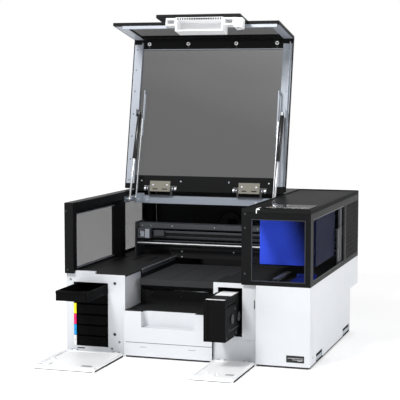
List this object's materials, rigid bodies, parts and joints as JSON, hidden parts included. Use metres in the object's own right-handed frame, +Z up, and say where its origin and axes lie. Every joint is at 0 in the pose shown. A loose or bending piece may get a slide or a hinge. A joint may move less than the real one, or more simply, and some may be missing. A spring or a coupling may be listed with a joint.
{
  "type": "flatbed uv printer",
  "caption": "Desktop flatbed UV printer with a tilting glazed lid, sliding bed, side canopies, drop-down service doors, ink trays and wiper cassette.",
  "frame": {"origin": "on the floor under the middle of the whole machine at rest, with its lid and doors open", "axes": "+Z up, +X to the machine's right as seen from the front, -Y towards the person in front of it"},
  "size_m": [0.98, 1.2416, 1.3351],
  "materials": {
    "white_panel": "satin",
    "pale_panel": "satin",
    "black_plastic": "satin",
    "gloss_black": "gloss",
    "tinted_glass": "gloss",
    "steel_rail": "satin",
    "tan_steel": "satin",
    "chrome_rod": "polished",
    "blue_cover": "gloss",
    "ink_flags": "satin",
    "black_bed": "anodised",
    "rubber_feet": "matte",
    "pale_keys": "satin"
  },
  "bodies": {
    "cabinet": {"base_pan": "steel_rail", "feet": "rubber_feet", "left_side_panel": "pale_panel", "right_side_panel": "pale_panel", "rear_panel": "pale_panel", "rear_top_cover": "black_plastic", "left_bay_shell": "white_panel", "right_bay_shell": "white_panel", "right_front_panel": "white_panel", "centre_front_panel": "white_panel", "centre_lower_panel": "white_panel", "front_shelf": "black_plastic", "inner_deck": "black_plastic", "power_supply": "steel_rail", "door_hinges": "steel_rail", "ink_rack": "black_plastic", "colour_strip": "ink_flags", "cassette_bay": "black_plastic", "left_canopy": "black_plastic", "left_window": "tinted_glass", "right_canopy": "black_plastic", "right_front_window": "tinted_glass", "right_side_window": "tinted_glass", "canopy_cap": "gloss_black", "control_panel": "black_plastic", "hinge_blocks": "steel_rail", "crossbar": "steel_rail", "bed_frame": "steel_rail", "gantry": "steel_rail", "guide_rod": "chrome_rod"},
    "left_door": {"left_door": "white_panel"},
    "right_door": {"right_door": "white_panel"},
    "ink_tray_1": {"ink_tray_1": "black_plastic"},
    "ink_tray_2": {"ink_tray_2": "black_plastic"},
    "ink_tray_3": {"ink_tray_3": "black_plastic"},
    "ink_tray_4": {"ink_tray_4": "black_plastic"},
    "ink_tray_5": {"ink_tray_5": "black_plastic"},
    "ink_tray_6": {"ink_tray_6": "black_plastic"},
    "wiper_cassette": {"wiper_cassette": "black_plastic"},
    "wiper_roller_front": {"wiper_roller_front": "black_plastic"},
    "wiper_roller_rear": {"wiper_roller_rear": "black_plastic"},
    "power_key": {"power_key": "pale_keys"},
    "menu_key": {"menu_key": "pale_keys"},
    "feed_key": {"feed_key": "pale_keys"},
    "lid": {"lid_frame": "black_plastic", "lid_glass": "tinted_glass", "lid_front_glass": "tinted_glass", "lid_rails": "steel_rail", "lid_handle": "white_panel", "hinge_leaves": "tan_steel"},
    "gas_rod_left": {"gas_rod_left": "steel_rail"},
    "gas_tube_left": {"gas_tube_left": "black_plastic"},
    "gas_rod_right": {"gas_rod_right": "steel_rail"},
    "gas_tube_right": {"gas_tube_right": "black_plastic"},
    "lid_stay_left": {"lid_stay_left": "steel_rail"},
    "lid_stay_right": {"lid_stay_right": "steel_rail"},
    "bed": {"bed_carrier": "gloss_black", "print_bed": "black_bed"},
    "carriage": {"carriage_cover": "blue_cover", "print_head": "gloss_black"}
  },
  "joints": [
    {"name": "left_door_hinge", "type": "hinge", "parent": "cabinet", "child": "left_door", "pos_m": [-0.367, -0.32175, 0.011], "axis": [-1, 0, 0], "range_deg": [0, 90]},
    {"name": "right_door_hinge", "type": "hinge", "parent": "cabinet", "child": "right_door", "pos_m": [0.197, -0.32175, 0.011], "axis": [-1, 0, 0], "range_deg": [0, 90]},
    {"name": "ink_tray_1_slide", "type": "slide", "parent": "cabinet", "child": "ink_tray_1", "axis": [0, 1, 0], "range_m": [-0.15, 0]},
    {"name": "ink_tray_2_slide", "type": "slide", "parent": "cabinet", "child": "ink_tray_2", "axis": [0, 1, 0], "range_m": [-0.15, 0]},
    {"name": "ink_tray_3_slide", "type": "slide", "parent": "cabinet", "child": "ink_tray_3", "axis": [0, 1, 0], "range_m": [-0.15, 0]},
    {"name": "ink_tray_4_slide", "type": "slide", "parent": "cabinet", "child": "ink_tray_4", "axis": [0, 1, 0], "range_m": [-0.15, 0]},
    {"name": "ink_tray_5_slide", "type": "slide", "parent": "cabinet", "child": "ink_tray_5", "axis": [0, 1, 0], "range_m": [-0.15, 0]},
    {"name": "ink_tray_6_slide", "type": "slide", "parent": "cabinet", "child": "ink_tray_6", "axis": [0, 1, 0], "range_m": [0, 0.2095]},
    {"name": "cassette_slide", "type": "slide", "parent": "cabinet", "child": "wiper_cassette", "axis": [0, 1, 0], "range_m": [0, 0.1955]},
    {"name": "roller_front_spin", "type": "hinge", "parent": "wiper_cassette", "child": "wiper_roller_front", "pos_m": [0.214, -0.41225, 0.19], "axis": [1, 0, 0], "continuous": true},
    {"name": "roller_rear_spin", "type": "hinge", "parent": "wiper_cassette", "child": "wiper_roller_rear", "pos_m": [0.214, -0.32625, 0.186], "axis": [1, 0, 0], "continuous": true},
    {"name": "power_key_press", "type": "slide", "parent": "cabinet", "child": "power_key", "axis": [0, 0, -1], "range_m": [0, 0.0006], "stiffness_N_per_m": 400, "springref_m": -0.0005},
    {"name": "menu_key_press", "type": "slide", "parent": "cabinet", "child": "menu_key", "axis": [0, 0, -1], "range_m": [0, 0.0006], "stiffness_N_per_m": 400, "springref_m": -0.0005},
    {"name": "feed_key_press", "type": "slide", "parent": "cabinet", "child": "feed_key", "axis": [0, 0, -1], "range_m": [0, 0.0006], "stiffness_N_per_m": 400, "springref_m": -0.0005},
    {"name": "lid_hinge", "type": "hinge", "parent": "cabinet", "child": "lid", "pos_m": [-0.1115, 0.32775, 0.6], "axis": [1, 0, 0], "range_deg": [0, 101.2]},
    {"name": "gas_rod_left_pivot", "type": "hinge", "parent": "cabinet", "child": "gas_rod_left", "pos_m": [-0.432, 0.22975, 0.562], "axis": [1, 0, 0], "range_deg": [0, 108.6]},
    {"name": "gas_tube_left_slide", "type": "slide", "parent": "gas_rod_left", "child": "gas_tube_left", "axis": [0, -0.3282, -0.9446], "range_m": [0, 0.1585]},
    {"name": "gas_rod_right_pivot", "type": "hinge", "parent": "cabinet", "child": "gas_rod_right", "pos_m": [0.209, 0.22975, 0.562], "axis": [1, 0, 0], "range_deg": [0, 108.6]},
    {"name": "gas_tube_right_slide", "type": "slide", "parent": "gas_rod_right", "child": "gas_tube_right", "axis": [0, -0.3282, -0.9446], "range_m": [0, 0.1585]},
    {"name": "lid_stay_left_pivot", "type": "hinge", "parent": "cabinet", "child": "lid_stay_left", "pos_m": [-0.4165, 0.26975, 0.566], "axis": [1, 0, 0], "range_deg": [0, 104.2]},
    {"name": "lid_stay_right_pivot", "type": "hinge", "parent": "cabinet", "child": "lid_stay_right", "pos_m": [0.1935, 0.26975, 0.566], "axis": [1, 0, 0], "range_deg": [0, 104.2]},
    {"name": "bed_slide", "type": "slide", "parent": "cabinet", "child": "bed", "axis": [0, 1, 0], "range_m": [0, 0.3]},
    {"name": "carriage_slide", "type": "slide", "parent": "cabinet", "child": "carriage", "axis": [-1, 0, 0], "range_m": [0, 0.6]}
  ],
  "couplings": [
    {"joint": "ink_tray_6_slide", "follows": "left_door_hinge", "m_per_rad": 0.133},
    {"joint": "cassette_slide", "follows": "right_door_hinge", "m_per_rad": 0.124},
    {"joint": "gas_rod_left_pivot", "follows": "lid_hinge", "ratio": 1.0712},
    {"joint": "gas_tube_left_slide", "follows": "lid_hinge", "m_per_rad": 0.08947},
    {"joint": "gas_rod_right_pivot", "follows": "lid_hinge", "ratio": 1.0712},
    {"joint": "gas_tube_right_slide", "follows": "lid_hinge", "m_per_rad": 0.08947},
    {"joint": "lid_stay_left_pivot", "follows": "lid_hinge", "ratio": 1.0268},
    {"joint": "lid_stay_right_pivot", "follows": "lid_hinge", "ratio": 1.0268}
  ]
}
